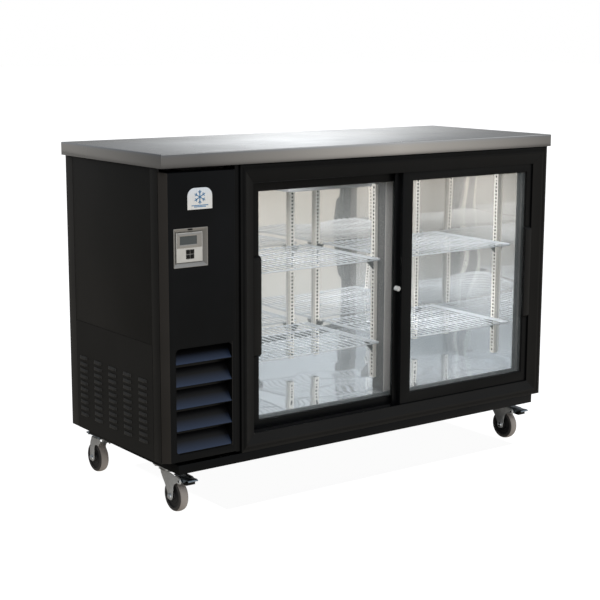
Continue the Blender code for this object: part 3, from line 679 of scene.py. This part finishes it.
def build_lock():
    low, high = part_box("lock_plunger")
    x, z = (low.x + high.x) / 2, (low.z + high.z) / 2
    front, back = -0.278, -0.2625
    bm = bmesh.new()
    ring = [(0.0057, front), (0.0057, back), (0.0082, back), (0.0082, -0.2772), (0.0074, front)]
    add_turned(bm, ring, (x, 0, z), "y", 32)
    piece("lock_barrel", bm, "zinc", "right_door", smooth=30)
    bm = bmesh.new()
    plug = [(AXIS_GAP, low.y), (0.0046, low.y), (0.0052, low.y + 0.0007), (0.0052, high.y),
            (AXIS_GAP, high.y)]
    add_turned(bm, plug, (x, 0, z), "y", 28)
    piece("lock_plug", bm, "zinc", "door_lock", ["lock_plunger"], smooth=30)
    keyway = (x - 0.0005, low.y - 0.0002, z - 0.003), (x + 0.0005, low.y + 0.0004, z + 0.003)
    block("lock_keyway", "plastic", "black_plastic", *keyway, "door_lock")


def build_doors():
    for track in ("upper_track", "lower_track"):
        refined(track, "track", edge=0.0005, segments=1)
    build_door("left", -0.2455, ((-0.404, 0.242), (0.137, 0.952)))
    build_door("right", -0.282, ((0.174, 0.254), (0.686, 0.955)))
    for side in ("left", "right"):
        build_handle(side)
    build_lock()


# ---------------------------------------------------------------- machine bay front

def build_controls():
    cover = refined("front_cover", "cover", edge=0.0010, segments=3)
    # painted reflection: the bevel's faces get a lighter copy of the cover's coat
    recoat(cover, "cover_bevel_painted_sheen", lambda face: -0.97 < face.normal.x < -0.2 and face.normal.y < -0.1)
    refined("controller_bezel", "bezel", edge=0.0007)
    refined("controller", "controller", edge=0.0004)
    for i in range(1, 5):
        refined(f"key_{i}", "plastic", f"key_{i}_cap", edge=0.0006, segments=3)
    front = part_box("controller")[0].y
    section = [(0.0, front + 0.0002), (0.0, front - 0.0008), (0.25, front - 0.0014),
               (0.75, front - 0.0014), (1.0, front - 0.0006), (1.0, front + 0.0008)]
    outer, window = ((-0.7165, 0.8085), (-0.6330, 0.8505)), ((-0.7075, 0.8178), (-0.6500, 0.8425))
    bm = bmesh.new()
    picture_frame(bm, outer, window, section)
    piece("display_frame", bm, "bezel", smooth=30)
    lens = (-0.7080, front + 0.0002, 0.8172), (-0.6495, front + 0.0009, 0.8431)
    block("display_lens", "lcd", "black_plastic", *lens)
    low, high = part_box("controller_bezel")
    middle = (low.x + high.x) / 2
    latch = ((middle - 0.008, low.y - 0.0010, high.z - 0.0065),
             (middle + 0.006, low.y + 0.004, high.z - 0.0020))
    block("bezel_latch", "plastic", "black_plastic", *latch, edge=0.0006)


def build_badge():
    """A plain silver plate with a blue snowflake over two bars: a generic mark."""
    low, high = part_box("badge")
    refined("badge", "badge", edge=0.0003)
    face, arm_long, branch_at, branch_long = low.y - 0.0003, 0.020, 0.0115, 0.0070
    hub = Vector(((low.x + high.x) / 2, face, (low.z + high.z) / 2 + 0.004))
    bm = bmesh.new()
    for arm in range(6):
        turn = math.radians(60 * arm + 30)
        out = Vector((math.cos(turn), 0, math.sin(turn)))
        across = Vector((-out.z, 0, out.x))
        add_rod(bm, hub, hub + out * arm_long, 0.0013, 6)
        knee = hub + out * branch_at
        for sign in (-1, 1):
            branch = (out + across * sign).normalized() * branch_long
            add_rod(bm, knee, knee + branch, 0.0010, 6)
    for inset, z in ((0.014, low.z + 0.0100), (0.022, low.z + 0.0060)):
        add_box(bm, (low.x + inset, face - 0.0005, z), (high.x - inset, face + 0.0005, z + 0.0022))
    piece("badge_mark", bm, "badge_blue")


def build_grille():
    """The louvre grille, with a black sheet against its back: painted shade behind the slats."""
    low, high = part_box("louvre_grille")
    inset = 0.002
    # painted shade: a black sheet that hides the bay behind the slats
    block("grille_painted_shade_sheet", "plastic", "black_frame",
          (low.x + inset, high.y - 0.0012, low.z + inset),
          (high.x - inset, high.y - 0.0004, high.z - inset))
    wall, round_in, fillet_deep = 0.0015, 0.0125, 0.0045
    bm = bmesh.new()
    left, right, bottom, top = low.x + wall, high.x - wall, low.z + wall, high.z - wall
    section = [(0.0, low.y), (1.0, low.y), (1.0, high.y), (0.0, high.y)]
    rectangular_frame(bm, (low.x, low.z), (high.x, high.z), wall, section)
    for x, z, start in ((left, bottom, 180), (right, bottom, 270),
                        (right, top, 0), (left, top, 90)):
        centre = (x + math.copysign(round_in, (low.x + high.x) / 2 - x),
                  z + math.copysign(round_in, (low.z + high.z) / 2 - z))
        fillet = [(x, z)] + arc(centre, round_in, start, start + 90, 6)
        add_prism(bm, fillet, "y", low.y, low.y + fillet_deep)
    piece("grille_frame", bm, "frame", nodes=["louvre_grille"])

    slats, first, pitch, full_rise, thick = 5, 0.0055, 0.0665, 0.0480, 0.0022
    near, far = low.y + 0.0008, high.y - 0.002
    bm = bmesh.new()
    for i in range(slats):
        z = low.z + first + i * pitch
        rise = min(full_rise, high.z - 0.0040 - z)
        outline = [(near, z - thick), (near, z), (far, z + rise), (far, z + rise - thick),
                   (near + 0.003, z - thick)]
        add_prism(bm, outline, "x", left, right)
    # the slats' tops carry a painted blue reflection and painted shade
    slats = piece("grille_slats", bm, "slat")
    recoat(slats, "frame", lambda face: face.normal.y < -0.9 or face.normal.z < -0.3)


# ---------------------------------------------------------------- shelves and standards

def build_shelf(node):
    """Border and cross rods below, and a row of front-to-back wires that lap over them."""
    low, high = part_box(node)
    wire, rod, sunk, pitch = 0.0020, 0.0026, 0.0006, 0.0254
    top = high.z - wire
    under = top - wire - rod + sunk
    bm = bmesh.new()
    count = round((high.x - low.x - 2 * rod) / pitch)
    step = (high.x - low.x - 2 * rod) / count
    wires = [low.x + rod + i * step for i in range(1, count)]
    for x in wires + [low.x + rod, high.x - rod]:
        add_rod(bm, (x, low.y + 0.0004, top), (x, high.y - 0.0004, top), wire, 10)
    for x in (low.x + rod, high.x - rod):
        add_rod(bm, (x, low.y + rod, under), (x, high.y - rod, under), rod, 12)
    inner = high.y - low.y - 2 * rod
    for share in (0.0, 0.25, 0.5, 0.75, 1.0):
        y = low.y + rod + inner * share
        add_rod(bm, (low.x + 0.0005, y, under), (high.x - 0.0005, y, under), rod, 12)
    piece(f"{node}_wires", bm, "wire", nodes=[node], smooth=60)


# where a standard stands, and the way the web of the front one looks
STANDARDS = {"left_outer": "+x", "left_inner": "-x", "right_inner": "+x", "right_outer": "-x"}
CLIP_REACH = 0.030


def build_clips():
    """A bracket in each standard under each shelf: a hooked plate with a sloping lower edge."""
    drop, half, ledge, ledge_half, sunk = 0.036, 0.0030, 0.0016, 0.006, 0.0005

    def outline(face, reach, top):
        return [(face - math.copysign(sunk, reach), top - drop),
                (face - math.copysign(sunk, reach), top - 0.0004),
                (face + reach, top - 0.0004), (face + reach, top - 0.006)]

    for level in ("upper", "lower"):
        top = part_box(f"left_{level}_shelf")[0].z
        low_z, high_z = top - ledge, top - 0.0002
        bm = bmesh.new()
        for where in STANDARDS:
            low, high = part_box(f"back_standard_{where}")
            x, end = (low.x + high.x) / 2, low.y - CLIP_REACH
            add_prism(bm, outline(low.y, -CLIP_REACH, top), "x", x - half, x + half)
            add_box(bm, (x - ledge_half, end, low_z), (x + ledge_half, low.y, high_z))
            low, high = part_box(f"front_standard_{where}")
            y, face = (low.y + high.y) / 2, high.x
            reach = CLIP_REACH
            if STANDARDS[where] == "-x":
                face, reach = low.x, -CLIP_REACH
            add_prism(bm, outline(face, reach, top), "y", y - half, y + half)
            near, far = sorted((face, face + reach))
            add_box(bm, (near, y - ledge_half, low_z), (far, y + ledge_half, high_z))
        piece(f"{level}_shelf_clips", bm, "clip")


def build_standard(node, facing):
    """A channel with a row of slots in its web. facing is the way the web looks: -y, +x or -x."""
    low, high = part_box(node)
    middle, bottom, top = (low + high) / 2, low.z, high.z
    turn, x, y = {
        "-y": (0, middle.x, low.y), "-x": (-90, low.x, middle.y), "+x": (90, high.x, middle.y),
    }[facing]
    wide, deep = high.x - low.x, high.y - low.y
    if turn:
        wide, deep = deep, wide
    half, wall, pitch, slot_half, slot_high = wide / 2, 0.0015, 0.0127, 0.0042, 0.0072
    first_slot, last_gap, screw_in = 0.008, 0.01, 0.020
    bm = bmesh.new()
    add_box(bm, (-half, 0, bottom), (-slot_half, wall, top))
    add_box(bm, (slot_half, 0, bottom), (half, wall, top))
    z = bottom
    for i in range(int((top - bottom - last_gap) / pitch)):
        start = bottom + first_slot + i * pitch
        add_box(bm, (-slot_half, 0, z), (slot_half, wall, start))
        z = start + slot_high
    add_box(bm, (-slot_half, 0, z), (slot_half, wall, top))
    add_box(bm, (-half, wall, bottom), (-half + wall, deep, top))
    add_box(bm, (half - wall, wall, bottom), (half, deep, top))
    for z in (bottom + screw_in, (bottom + top) / 2, top - screw_in):
        add_rod(bm, (0, 0.0006, z), (0, -0.0006, z), 0.0046, 16)
        add_rod(bm, (0, -0.0005, z), (0, -0.0012, z), 0.0030, 16, 0.0022)
    place = Matrix.Translation((x, y, 0)) @ Matrix.Rotation(math.radians(turn), 4, "Z")
    bm.transform(place)
    piece(f"{node}_slotted", bm, "standard", nodes=[node], smooth=20)
    # a dark strip behind the web that keeps the slots dark: painted shade
    bm = bmesh.new()
    add_box(bm, (wall - half, wall + 0.0015, bottom), (half - wall, wall + 0.0030, top))
    bm.transform(place)
    piece(f"{node}_painted_shade_strip", bm, "plastic")


def build_interior():
    for node in ("left_upper_shelf", "left_lower_shelf", "right_upper_shelf", "right_lower_shelf"):
        build_shelf(node)
    for where in STANDARDS:
        build_standard(f"back_standard_{where}", "-y")
    for where, facing in STANDARDS.items():
        build_standard(f"front_standard_{where}", facing)
    build_clips()
    refined("evaporator", "housing", edge=0.0008)
    refined("evaporator_fan", "fan", "evaporator_fan_wheel", edge=0.0008)


def build_machine():
    refined("compressor", "compressor", edge=0.0008)
    refined("condenser", "coil", edge=0.0004, segments=1)
    refined("fan_shroud", "galvanised", edge=0.0004)
    refined("condenser_fan", "fan", "condenser_fan_wheel", edge=0.0008)


# ---------------------------------------------------------------- casters

# How far behind the swivel the axle stands: the front casters are parked the other way round
FRONT_TRAIL, REAR_TRAIL = -0.033, 0.033
AXLE_Z, WHEEL_R = 0.0497, 0.0498
PIVOT = Vector((0, -0.086, 0.109))  # the brake pedal's, from the swivel
LEG_X, GAUGE, CROWN = 0.0215, 0.0025, 0.1228
FORK_HALF = LEG_X + GAUGE / 2
SIDES = (-1, 1)


def build_caster_plate(corner, x, y, look):
    """Top plate with its corner bolts, and the pressed ball race under it."""
    low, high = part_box(f"caster_plate_{corner}")
    under, rounding, bolt_out = high.z - 0.003, 0.006, 0.0305
    outline = []
    for cx, cy, start in ((high.x, high.y, 0), (low.x, high.y, 90),
                          (low.x, low.y, 180), (high.x, low.y, 270)):
        centre = cx + math.copysign(rounding, x - cx), cy + math.copysign(rounding, y - cy)
        outline += arc(centre, rounding, start, start + 90, 4)
    bm = bmesh.new()
    add_prism(bm, outline, "z", under, high.z)
    race = [(0.004, 0.1236), (0.0215, 0.1236), (0.0240, 0.1250), (0.0240, 0.1268),
            (0.0210, 0.1280), (0.0195, under), (0.004, under)]
    add_turned(bm, race, (x, y, 0), "z", 36)
    for sx in SIDES:
        for sy in SIDES:
            at = Vector((x + sx * bolt_out, y + sy * bolt_out, under))
            add_rod(bm, at, at - AXES["z"] * 0.0010, 0.0078, 20)
            add_rod(bm, at, at - AXES["z"] * 0.0052, 0.0060, 6)
    soften(bm, 0.0004, 1)
    piece(f"caster_plate_{corner}_pressed", bm, look, nodes=[f"caster_plate_{corner}"])


def build_fork(corner, x, y, braked, trail):
    """Two pressed legs under a rounded crown."""
    if braked:
        outline = [(-0.0380, CROWN), (-0.0560, 0.1195)]
        outline += arc((PIVOT.y, PIVOT.z), 0.0100, 75, 285, 12)
        outline += [(-0.0700, 0.1000)] + arc((-0.0660, 0.0790), 0.0160, 75, 0, 6)
        outline += arc((trail, AXLE_Z), 0.0125, 180, 355, 10)
        outline += [(-0.0180, 0.0580), (-0.0120, 0.0690), (-0.0020, 0.0850), (0.0100, 0.0995),
                    (0.0180, 0.1105), (0.0225, CROWN)]
    else:
        outline = [(-0.0225, CROWN), (-0.0215, 0.112)] + arc((0.0010, 0.0800), 0.0190, 120, 10, 7)
        outline += arc((trail, AXLE_Z), 0.0125, 182, 352, 10)
        outline += [(0.0468, 0.066), (0.0462, 0.084), (0.0425, 0.102), (0.0360, 0.115),
                    (0.0320, CROWN)]
    bm = bmesh.new()
    for side in SIDES:
        near = LEG_X * side - GAUGE / 2
        add_prism(bm, outline, "x", near, near + GAUGE)
    back, round_centre = 0.0320, (0, -0.004)
    crown = [(-FORK_HALF, back), (-FORK_HALF, round_centre[1])]
    crown += arc(round_centre, FORK_HALF, 180, 360, 14) + [(FORK_HALF, back)]
    add_prism(bm, crown, "z", CROWN - GAUGE, CROWN)
    soften(bm, 0.0005)
    if braked:
        collar = [(0.0040, 0), (0.0040, 0.0026), (0.0052, 0.0032), (0.0080, 0.0028),
                  (0.0090, 0.0010), (0.0090, 0)]
        for side in SIDES:
            add_turned(bm, [(r, side * (FORK_HALF + h)) for r, h in collar], PIVOT, "x", 20)
    bm.transform(Matrix.Translation((x, y, 0)))
    piece(f"fork_{corner}_pressed", bm, "zinc", f"{corner}_fork", [f"fork_{corner}"], 35)


def build_bolts(corner, x, y, braked, trail):
    """The axle bolt with its dome nuts, and the pin of the brake pedal."""
    body = f"{corner}_fork"
    if braked:
        pin = PIVOT + Vector((x, y, 0))
        bm = bmesh.new()
        for side in SIDES:
            start = pin + AXES["x"] * side * FORK_HALF
            add_rod(bm, start, pin + AXES["x"] * side * (FORK_HALF + 0.0012), 0.0040, 16)
        piece(f"brake_pin_{corner}", bm, "plastic", body)
    centre, end, radius = (x, y + trail, AXLE_Z), FORK_HALF + 0.001, 0.0040
    bm = bmesh.new()
    bolt = [(AXIS_GAP, -end), (radius, -end), (radius, end), (AXIS_GAP, end)]
    add_turned(bm, bolt, centre, "x", 16)
    dome = [(AXIS_GAP, 0), (0.0088, 0), (0.0090, 0.0022), (0.0078, 0.0048), (0.0052, 0.0066),
            (AXIS_GAP, 0.0074)]
    for side in SIDES:
        add_turned(bm, [(r, side * (FORK_HALF + h)) for r, h in dome], centre, "x", 24)
    piece(f"axle_bolt_{corner}", bm, "zinc_bright", body, smooth=50)


def build_wheel(corner, x, y, trail):
    """Grey tread with rounded shoulders and darker sides, on a dark hub with a raised ring."""
    body, centre = f"{corner}_wheel", (x, y + trail, AXLE_Z)
    shoulder, half_wide, squareness = 0.0115, 0.0152, 0.55
    tread = [
        (WHEEL_R - shoulder + shoulder * math.sin(t) ** squareness, half_wide * math.cos(t))
        for t in (math.pi * i / 16 for i in range(17))
    ]
    bm = bmesh.new()
    add_turned(bm, tread + [(0.0372, -0.0140), (0.0372, 0.0140)], centre, "x", 72)
    tyre = piece(f"tyre_{corner}", bm, "tyre", body, [f"wheel_{corner}"], 50)
    recoat(tyre, "tyre_side", lambda face: abs(face.normal.x) > 0.62)
    half = [(0.0048, 0.0168), (0.0125, 0.0168), (0.0140, 0.0122), (0.0205, 0.0106),
            (0.0222, 0.0120), (0.0246, 0.0120), (0.0262, 0.0106), (0.0340, 0.0110),
            (0.0358, 0.0142), (0.0376, 0.0138)]
    bm = bmesh.new()
    add_turned(bm, half + [(r, -h) for r, h in reversed(half)], centre, "x", 56)
    piece(f"hub_{corner}", bm, "hub", body, smooth=35)


def build_pedal(corner, x, y):
    """Pressed brake pedal with folded edges and a curled tip, and the dark pad under it."""
    body, name = f"{corner}_pedal", f"brake_pedal_{corner}"
    place = Matrix.Translation(PIVOT + Vector((x, y, 0)))
    half, flange_x, flange_half, gauge = 0.0170, 0.0162, 0.0008, 0.0020
    upper = [(0.036, 0.0126), (0.006, 0.0106), (-0.012, 0.0100), (-0.024, 0.0100),
             (-0.035, 0.0110), (-0.0412, 0.0102), (-0.0440, 0.0074)]
    lower = [(h + 0.0004, v - gauge) for h, v in reversed(upper)]
    bm = bmesh.new()
    add_prism(bm, upper + lower, "x", -half, half)
    flange = [(0.008, 0.0092), (-0.012, 0.0096), (-0.024, 0.0096), (-0.033, 0.0102),
              (-0.027, 0.0040), (-0.010, -0.0050), (0.003, -0.0050)]
    for side in SIDES:
        near = side * flange_x - flange_half
        add_prism(bm, flange, "x", near, near + 2 * flange_half)
    soften(bm, 0.0005)
    tube = [(0.0032, -0.0195), (0.0032, 0.0195), (0.0055, 0.0195), (0.0055, -0.0195)]
    add_turned(bm, tube, (0, 0, 0), "x", 20)
    curl = [(0.036, 0.0126), (0.0405, 0.0110), (0.0405, 0.0100), (0.036, 0.0106)]
    add_prism(bm, curl, "x", -half, half)
    bm.transform(place)
    piece(f"{name}_pressed", bm, "pedal", body, [name], 35)
    bm = bmesh.new()
    add_box(bm, (-0.0155, -0.0300, -0.0075), (0.0155, -0.0080, 0.0010))
    soften(bm, 0.0010)
    bm.transform(place)
    piece(f"brake_pad_{corner}", bm, "plastic", body)


def build_caster(corner):
    low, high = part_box(f"caster_plate_{corner}")
    x, y = (low.x + high.x) / 2, (low.y + high.y) / 2
    braked = corner.startswith("front")
    trail = FRONT_TRAIL if braked else REAR_TRAIL
    build_caster_plate(corner, x, y, "zinc" if braked else "pedal")
    build_fork(corner, x, y, braked, trail)
    build_bolts(corner, x, y, braked, trail)
    build_wheel(corner, x, y, trail)
    if braked:
        build_pedal(corner, x, y)


# ---------------------------------------------------------------- studio

def build_floor():
    bm = bmesh.new()
    bmesh.ops.create_grid(bm, x_segments=2, y_segments=2, size=60)
    made = Surface("studio_floor_pale")
    floor = mesh_object("studio_floor", bm, made.finished(
        base_color=made.ramp(made.noise(0.8, 2.0), (0.52, 0.52, 0.52), (0.54, 0.54, 0.54)),
        roughness=0.9, specular_ior_level=0.1, emission_color=WHITE, emission_strength=0.96,
    ))
    floor.visible_diffuse = floor.visible_glossy = False


def build_shade():
    """A dark card under the cooler, out of the camera's sight. It keeps the underside dark."""
    bm = bmesh.new()
    add_box(bm, (-0.56, -0.30, 0.001), (0.655, 0.27, 0.002))
    shade = mesh_object("shade", bm, MATERIALS["plastic"])
    shade.visible_camera = False


def area_light(name, place, target, size, power):
    data = bpy.data.lights.new(name, "AREA")
    data.shape = "RECTANGLE"
    data.size, data.size_y = size
    data.energy = power
    light = new_object(name, data)
    light.location = place
    aim = Vector(target) - Vector(place)
    light.rotation_euler = aim.to_track_quat("-Z", "Y").to_euler()
    light.visible_glossy = light.visible_camera = False


class Studio(Tree):
    """The world's node tree: a soft studio that is seen white, and lights the object unevenly."""

    def __init__(self):
        world = bpy.data.worlds.new("studio")
        bpy.context.scene.world = world
        super().__init__(world)
        self.ray = self.add("TexCoord").outputs["Generated"]

    def math(self, operation, first, second=0.0):
        node = self.add("Math", {0: first, 1: second})
        node.operation = operation
        return node.outputs[0]

    def towards(self, direction):
        """How far the ray points along a direction: 1 straight at it, -1 straight away."""
        node = self.add("VectorMath", {0: self.ray, 1: direction})
        node.operation = "DOT_PRODUCT"
        return node.outputs["Value"]

    def step(self, value, start, end, low=0.0, high=1.0):
        """Goes smoothly from low to high while the value goes from start to end."""
        node = self.mapped(value, start, end, low, high)
        node.interpolation_type = "SMOOTHSTEP"
        return node.outputs["Result"]

    def blend(self, share, first, second):
        """A colour between two."""
        node = self.add("Mix", {"Factor": share})
        node.data_type = "RGBA"
        sockets = [socket for socket in node.inputs if socket.type == "RGBA"]
        for source, socket in zip((first, second), sockets):
            self.link(source, socket)
        return next(socket for socket in node.outputs if socket.type == "RGBA")

    def glow(self, direction, across, width):
        """A tall softbox: bright near one bearing, and fading to both sides of it."""
        offset = self.math("DIVIDE", self.towards(across), width)
        square = self.math("MULTIPLY", offset, offset)
        fade = self.math("EXPONENT", self.math("MULTIPLY", square, -0.5))
        return self.math("MULTIPLY", fade, self.step(self.towards(direction), 0.2, 0.7))


def bearing(degrees):
    """The level direction at a bearing, measured from +Y towards +X, and the one across it."""
    turn = math.radians(degrees)
    return (math.sin(turn), math.cos(turn), 0), (math.cos(turn), -math.sin(turn), 0)


def build_world():
    studio = Studio()
    rise = studio.towards((0, 0, 1))
    tint = studio.blend(studio.step(rise, -0.10, 0.12), FLOOR_GLOW, SKY_GLOW)
    front = studio.towards(bearing(FRONT_BEARING)[0])
    level = studio.step(front, -0.1, 0.75, BACK_LEVEL, FRONT_LEVEL)
    softbox = studio.glow(*bearing(SOFTBOX_BEARING), math.sin(math.radians(SOFTBOX_WIDTH)))
    for share in (studio.step(rise, -0.05, 0.03, 0.0, SOFTBOX_LEVEL),
                  studio.step(rise, 0.25, 0.45, 1.0, 0.0)):
        softbox = studio.math("MULTIPLY", softbox, share)
    strength = studio.math("ADD", level, softbox)
    lit = studio.add("Background", {"Color": tint, "Strength": strength})
    seen = studio.add("Background", {"Color": WHITE})
    path = studio.add("LightPath")
    mix = studio.add("MixShader", {
        0: path.outputs["Is Camera Ray"], 1: lit.outputs[0], 2: seen.outputs[0],
    })
    studio.link(mix.outputs[0], studio.tree.nodes["World Output"].inputs["Surface"])


def build_lamps():
    """The key light, and four lamps that stand for the light inside the cold room."""
    area_light("key", (-3.5, -4.0, 4.5), (0, 0, 0.5), (3.0, 3.0), 120)
    left, right, high, low = -0.17, 0.44, 0.976, 0.60
    for name, x, z, power in (("left_high", left, high, 2.1), ("left_low", left, low, 0.45),
                              ("right_high", right, high, 2.3), ("right_low", right, low, 1.45)):
        area_light(f"inside_{name}", (x, -0.04, z), (x, -0.03, 0.2), (0.30, 0.20), power)


def build_camera():
    azimuth, elevation, roll = (
        math.radians(turn) for turn in (CAMERA_AZIMUTH, CAMERA_ELEVATION, CAMERA_ROLL))
    flat = math.cos(elevation)
    back = Vector((math.sin(azimuth) * flat, -math.cos(azimuth) * flat, math.sin(elevation)))
    level = Vector((math.cos(azimuth), math.sin(azimuth), 0))
    upward = back.cross(level)
    right = level * math.cos(roll) + upward * math.sin(roll)
    up = back.cross(right)
    data = bpy.data.cameras.new("camera")
    data.lens, data.sensor_width = CAMERA_LENS, CAMERA_SENSOR
    camera = new_object("camera", data)
    turn = Matrix((right, up, back)).transposed()
    camera.matrix_world = Matrix.Translation(CAMERA_PLACE) @ turn.to_4x4()
    bpy.context.scene.camera = camera


def main():
    build_worktop()
    build_left_side()
    build_side_vents()
    build_case()
    build_fixings()
    build_surround()
    build_doors()
    build_controls()
    build_badge()
    build_grille()
    build_interior()
    build_machine()
    for corner in ("front_left", "front_right", "rear_left", "rear_right"):
        build_caster(corner)
    build_floor()
    build_shade()
    build_world()
    build_lamps()
    build_camera()
    bpy.context.scene.view_settings.view_transform = "Standard"


main()
